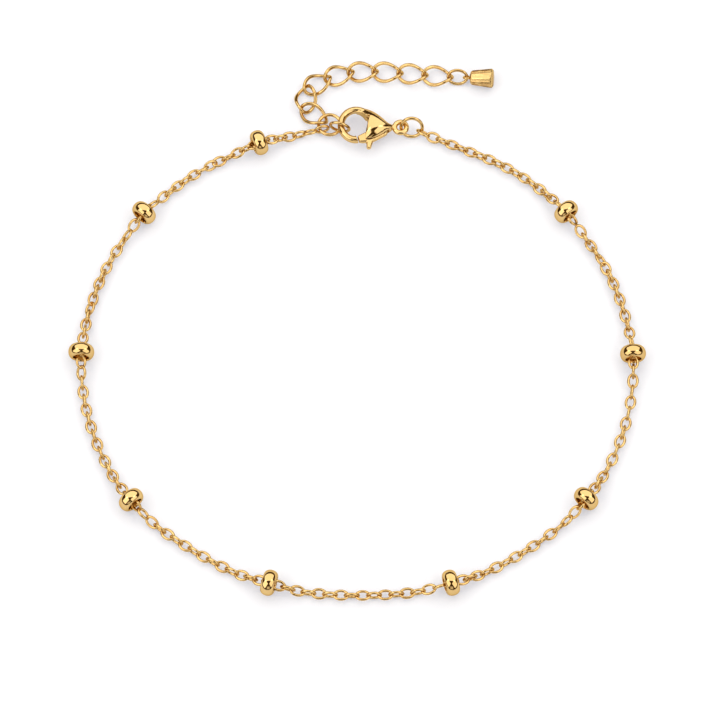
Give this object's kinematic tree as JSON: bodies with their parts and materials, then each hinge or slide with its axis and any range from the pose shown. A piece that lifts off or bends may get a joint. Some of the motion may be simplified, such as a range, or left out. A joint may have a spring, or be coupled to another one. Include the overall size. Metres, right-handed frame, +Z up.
{
  "type": "satellite chain anklet",
  "caption": "Gold-tone anklet: fine cable chain threaded through spaced rondelle beads, with a lobster clasp and an extender chain ending in a conical drop, laid as a fastened loop.",
  "frame": {"origin": "middle of the underside of the whole object's box, on the tabletop that it lies on", "axes": "+Z up from the tabletop, +Y from the middle of the loop towards the clasp and the extender, +X to the clasp's eye end"},
  "size_m": [0.0756, 0.0778, 0.0034],
  "materials": {
    "gold": "polished gold plate"
  },
  "bodies": {
    "anklet": {"chain": "gold", "chain_end_link_1": "gold", "chain_end_link_2": "gold", "bead_1": "gold", "bead_2": "gold", "bead_3": "gold", "bead_4": "gold", "bead_5": "gold", "bead_6": "gold", "bead_7": "gold", "bead_8": "gold", "bead_9": "gold", "jump_ring": "gold", "junction_ring": "gold", "hook_ring": "gold", "extender_link_1": "gold", "extender_link_2": "gold", "extender_link_3": "gold", "extender_link_4": "gold", "extender_link_5": "gold", "extender_link_6": "gold", "extender_link_7": "gold", "extender_link_8": "gold", "extender_end_ring": "gold", "end_drop": "gold", "clasp_body": "gold"},
    "lever": {"clasp_lever": "gold"}
  },
  "joints": [
    {"name": "lever_swing", "type": "hinge", "parent": "anklet", "child": "lever", "pos_m": [0.00336, 0.02804, 0.00145], "axis": [0, 0, -1], "range_deg": [0, 32], "stiffness_Nm_per_rad": 0.0001, "springref_deg": -8.59}
  ]
}
